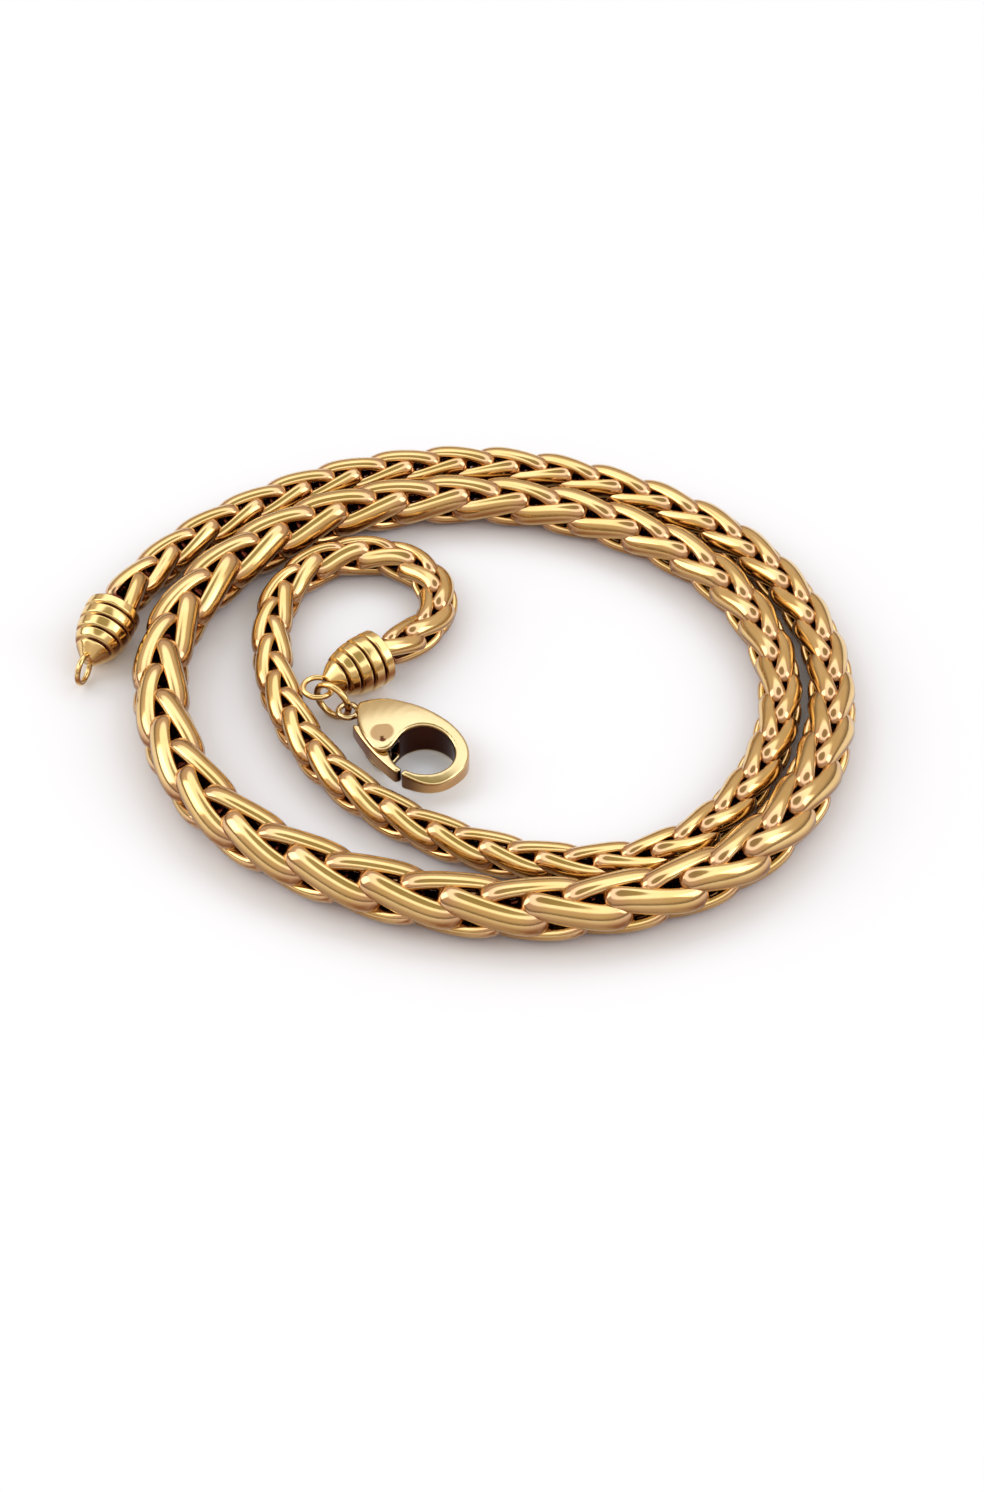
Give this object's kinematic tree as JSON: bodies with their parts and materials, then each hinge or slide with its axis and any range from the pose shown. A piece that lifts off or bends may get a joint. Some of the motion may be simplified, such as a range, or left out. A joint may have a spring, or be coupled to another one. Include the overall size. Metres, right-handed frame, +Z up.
{
  "type": "foxtail chain necklace",
  "caption": "Graduated woven gold neck chain lying open in a flat spiral, with ribbed end caps and a lobster clasp whose lever swings inwards.",
  "frame": {"origin": "middle of the area that the necklace covers, on the surface that it lies on", "axes": "+Z up, +X along the coil's longest extent, from the free end's side to the other, +Y from the clasp towards the small loop of chain beside it"},
  "size_m": [0.073, 0.065, 0.0059],
  "materials": {
    "gold_weave": "polished yellow gold with a warm pink cast",
    "gold_fittings": "polished yellow gold"
  },
  "bodies": {
    "necklace": {"chain": "gold_weave", "end_cap_outer": "gold_fittings", "end_cap_clasp": "gold_fittings", "link_ring": "gold_fittings", "clasp_body": "gold_fittings"},
    "lever": {"clasp_lever": "gold_fittings"}
  },
  "joints": [
    {"name": "lever_hinge", "type": "hinge", "parent": "necklace", "child": "lever", "pos_m": [-0.00733, -0.00838, 0.0018], "axis": [0, 0, 1], "range_deg": [0, 28], "stiffness_Nm_per_rad": 0.002, "springref_deg": -17.19}
  ]
}
